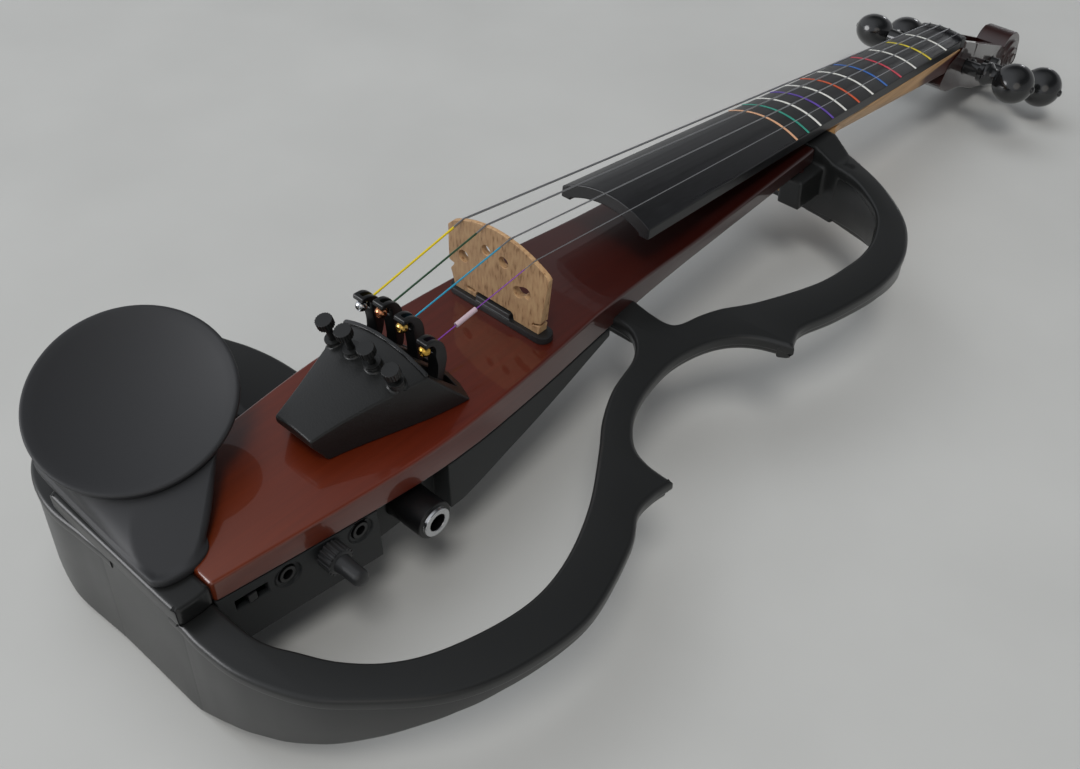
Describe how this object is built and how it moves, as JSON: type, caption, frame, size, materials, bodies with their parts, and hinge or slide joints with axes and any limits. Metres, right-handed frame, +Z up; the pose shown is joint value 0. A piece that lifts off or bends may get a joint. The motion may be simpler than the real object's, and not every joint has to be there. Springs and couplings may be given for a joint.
{
  "type": "electric violin",
  "caption": "Slim wooden electric violin with an open one-sided outline frame, chin rest, arched fingerboard, friction pegs and a tailpiece with screw-driven lever fine tuners.",
  "frame": {"origin": "bottom centre of the bounding box, on the surface that the violin lies on", "axes": "+Y along the strings from the tail to the scroll, +X to the E string side, +Z up, out of the fingerboard"},
  "size_m": [0.2123, 0.5808, 0.0955],
  "materials": {
    "body_wood": "gloss lacquered wood",
    "neck_maple": "satin oiled maple",
    "head_wood": "gloss lacquered wood",
    "board_black": "oiled black wood",
    "tape": "thin coloured tape",
    "nut_black": "polished black wood",
    "peg_black": "polished black wood",
    "string_metal": "round-wound metal",
    "string_sleeve": "soft pink tube",
    "bridge_maple": "bare maple",
    "pickup_black": "matte black",
    "tailpiece_black": "fine-grained black",
    "steel": "plain steel",
    "lever_black": "black lacquered metal",
    "g_ball": "small turned ball",
    "d_ball": "small turned ball",
    "a_ball": "small turned ball",
    "e_ball": "small turned ball",
    "knob_metal": "dark nickel",
    "rest_black": "matte black",
    "frame_black": "satin black",
    "housing_black": "matte black",
    "cell_skin": "plain printed skin",
    "contact_brass": "plated spring strip",
    "board_green": "solder mask",
    "switch_black": "matte black",
    "knob_black": "ribbed black",
    "socket_black": "moulded black",
    "nickel": "nickel plate"
  },
  "bodies": {
    "violin": {"body": "body_wood", "neck": "neck_maple", "head": "head_wood", "fingerboard": "board_black", "fingering_tapes": "tape", "nut": "nut_black", "g_string": "string_metal", "d_string": "string_metal", "a_string": "string_metal", "e_string": "string_metal", "bridge": "bridge_maple", "pickup_bar": "pickup_black", "tailpiece": "tailpiece_black", "tailpiece_ridge": "tailpiece_black", "tuner_axle": "steel", "chin_rest": "rest_black", "chin_rest_screws": "steel", "tail_block": "frame_black", "treble_frame": "frame_black", "bass_wing": "frame_black", "frame_screws": "steel", "control_housing": "housing_black", "batteries": "cell_skin", "battery_contacts": "contact_brass", "circuit_board": "board_green", "volume_pot": "steel", "phones_socket": "socket_black", "aux_socket": "socket_black", "line_out_socket": "nickel"},
    "g_peg_unit": {"g_peg": "peg_black", "g_winding": "string_metal"},
    "d_peg_unit": {"d_peg": "peg_black", "d_winding": "string_metal"},
    "a_peg_unit": {"a_peg": "peg_black", "a_winding": "string_metal"},
    "e_peg_unit": {"e_peg": "peg_black", "e_winding": "string_metal"},
    "g_tuner_nut": {"g_tuner_collar": "knob_metal"},
    "g_tuner_knob": {"g_tuner_screw": "knob_metal"},
    "g_tuner_arm": {"g_tuner_lever": "lever_black", "g_ball_end": "g_ball"},
    "d_tuner_nut": {"d_tuner_collar": "knob_metal"},
    "d_tuner_knob": {"d_tuner_screw": "knob_metal"},
    "d_tuner_arm": {"d_tuner_lever": "lever_black", "d_ball_end": "d_ball"},
    "a_tuner_nut": {"a_tuner_collar": "knob_metal"},
    "a_tuner_knob": {"a_tuner_screw": "knob_metal"},
    "a_tuner_arm": {"a_tuner_lever": "lever_black", "a_ball_end": "a_ball"},
    "e_tuner_nut": {"e_tuner_collar": "knob_metal"},
    "e_tuner_knob": {"e_tuner_screw": "knob_metal"},
    "e_tuner_arm": {"e_tuner_lever": "lever_black", "e_ball_end": "e_ball"},
    "sleeve": {"e_string_sleeve": "string_sleeve"},
    "switch": {"power_switch": "switch_black"},
    "volume": {"volume_knob": "knob_black"},
    "door": {"battery_door": "housing_black"}
  },
  "joints": [
    {"name": "g_peg_turn", "type": "hinge", "parent": "violin", "child": "g_peg_unit", "pos_m": [0, 0.21699, 0.03001], "axis": [1, 0, 0], "continuous": true},
    {"name": "d_peg_turn", "type": "hinge", "parent": "violin", "child": "d_peg_unit", "pos_m": [0, 0.25231, 0.01738], "axis": [1, 0, 0], "continuous": true},
    {"name": "a_peg_turn", "type": "hinge", "parent": "violin", "child": "a_peg_unit", "pos_m": [0, 0.24074, 0.02009], "axis": [1, 0, 0], "continuous": true},
    {"name": "e_peg_turn", "type": "hinge", "parent": "violin", "child": "e_peg_unit", "pos_m": [0, 0.20791, 0.03329], "axis": [1, 0, 0], "continuous": true},
    {"name": "g_tuner_turn", "type": "hinge", "parent": "violin", "child": "g_tuner_nut", "pos_m": [-0.015, -0.19357, 0.06781], "axis": [0, -0.2881, 0.9576], "range_deg": [-750, 750]},
    {"name": "g_tuner_screw_in", "type": "slide", "parent": "g_tuner_nut", "child": "g_tuner_knob", "axis": [0, -0.2881, 0.9576], "range_m": [-0.001, 0.001]},
    {"name": "g_tuner_rock", "type": "hinge", "parent": "violin", "child": "g_tuner_arm", "pos_m": [0, -0.18299, 0.06462], "axis": [1, 0, 0], "range_deg": [-5.7, 5.7]},
    {"name": "d_tuner_turn", "type": "hinge", "parent": "violin", "child": "d_tuner_nut", "pos_m": [-0.005, -0.19357, 0.06781], "axis": [0, -0.2881, 0.9576], "range_deg": [-750, 750]},
    {"name": "d_tuner_screw_in", "type": "slide", "parent": "d_tuner_nut", "child": "d_tuner_knob", "axis": [0, -0.2881, 0.9576], "range_m": [-0.001, 0.001]},
    {"name": "d_tuner_rock", "type": "hinge", "parent": "violin", "child": "d_tuner_arm", "pos_m": [0, -0.18299, 0.06462], "axis": [1, 0, 0], "range_deg": [-5.7, 5.7]},
    {"name": "a_tuner_turn", "type": "hinge", "parent": "violin", "child": "a_tuner_nut", "pos_m": [0.005, -0.19357, 0.06781], "axis": [0, -0.2881, 0.9576], "range_deg": [-750, 750]},
    {"name": "a_tuner_screw_in", "type": "slide", "parent": "a_tuner_nut", "child": "a_tuner_knob", "axis": [0, -0.2881, 0.9576], "range_m": [-0.001, 0.001]},
    {"name": "a_tuner_rock", "type": "hinge", "parent": "violin", "child": "a_tuner_arm", "pos_m": [0, -0.18299, 0.06462], "axis": [1, 0, 0], "range_deg": [-5.7, 5.7]},
    {"name": "e_tuner_turn", "type": "hinge", "parent": "violin", "child": "e_tuner_nut", "pos_m": [0.015, -0.19357, 0.06781], "axis": [0, -0.2881, 0.9576], "range_deg": [-750, 750]},
    {"name": "e_tuner_screw_in", "type": "slide", "parent": "e_tuner_nut", "child": "e_tuner_knob", "axis": [0, -0.2881, 0.9576], "range_m": [-0.001, 0.001]},
    {"name": "e_tuner_rock", "type": "hinge", "parent": "violin", "child": "e_tuner_arm", "pos_m": [0, -0.18299, 0.06462], "axis": [1, 0, 0], "range_deg": [-5.7, 5.7]},
    {"name": "sleeve_slide", "type": "slide", "parent": "violin", "child": "sleeve", "axis": [0.0394, 0.9804, 0.193], "range_m": [-0.006, 0.02]},
    {"name": "switch_slide", "type": "slide", "parent": "violin", "child": "switch", "axis": [0, 0.9997, 0.0247], "range_m": [-0.0034, 0.0034]},
    {"name": "volume_turn", "type": "hinge", "parent": "violin", "child": "volume", "pos_m": [0.02, -0.23892, 0.04083], "axis": [1, 0, 0], "range_deg": [-135, 135]},
    {"name": "door_slide", "type": "slide", "parent": "violin", "child": "door", "axis": [0, 0.9997, 0.0247], "range_m": [0, 0.06]}
  ],
  "couplings": [
    {"joint": "g_tuner_turn", "follows": "g_tuner_screw_in", "rad_per_m": 12566},
    {"joint": "g_tuner_rock", "follows": "g_tuner_screw_in", "rad_per_m": -95.24},
    {"joint": "d_tuner_turn", "follows": "d_tuner_screw_in", "rad_per_m": 12566},
    {"joint": "d_tuner_rock", "follows": "d_tuner_screw_in", "rad_per_m": -95.24},
    {"joint": "a_tuner_turn", "follows": "a_tuner_screw_in", "rad_per_m": 12566},
    {"joint": "a_tuner_rock", "follows": "a_tuner_screw_in", "rad_per_m": -95.24},
    {"joint": "e_tuner_turn", "follows": "e_tuner_screw_in", "rad_per_m": 12566},
    {"joint": "e_tuner_rock", "follows": "e_tuner_screw_in", "rad_per_m": -95.24}
  ]
}
